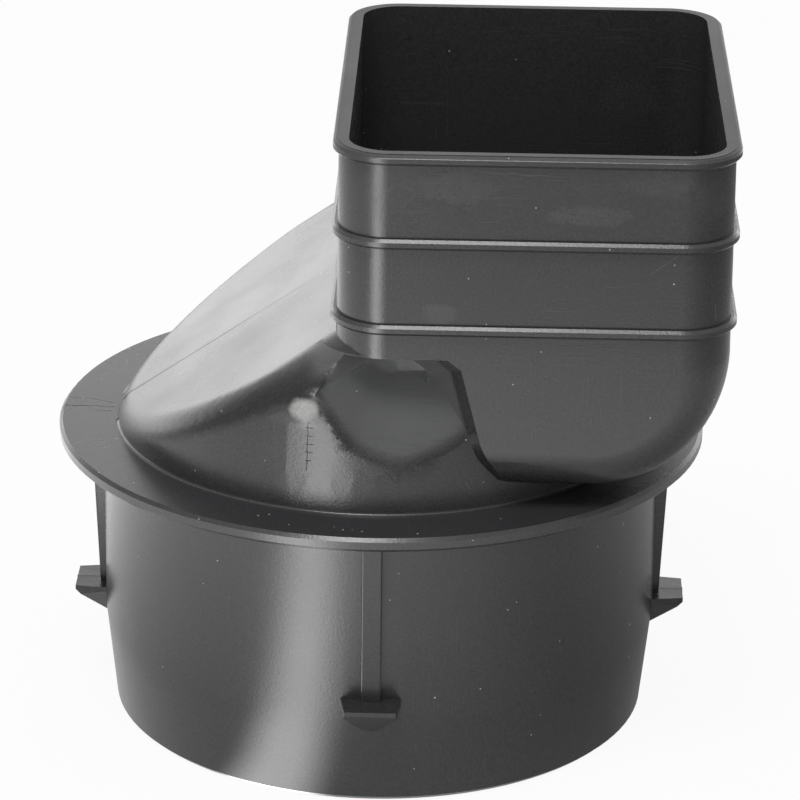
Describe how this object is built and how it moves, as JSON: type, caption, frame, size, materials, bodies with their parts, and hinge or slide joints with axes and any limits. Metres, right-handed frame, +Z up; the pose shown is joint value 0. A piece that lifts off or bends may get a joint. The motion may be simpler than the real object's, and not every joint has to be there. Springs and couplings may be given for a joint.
{
  "type": "downspout adapter",
  "caption": "Offset drain fitting that leads a rectangular downspout into a round drain pipe, with a flanged snap-in spigot.",
  "frame": {"origin": "centre of the round spigot's open lower end, which the part rests on", "axes": "+Z up along the spigot's axis towards the collar's mouth; +X from the spigot's axis towards the side that the rectangular collar is offset to; the part mirrors about the plane y = 0"},
  "size_m": [0.1198, 0.1168, 0.1184],
  "materials": {
    "adapter_body": "satin black moulded polyethylene"
  },
  "bodies": {
    "root": {"adapter_body": "adapter_body"}
  },
  "joints": []
}
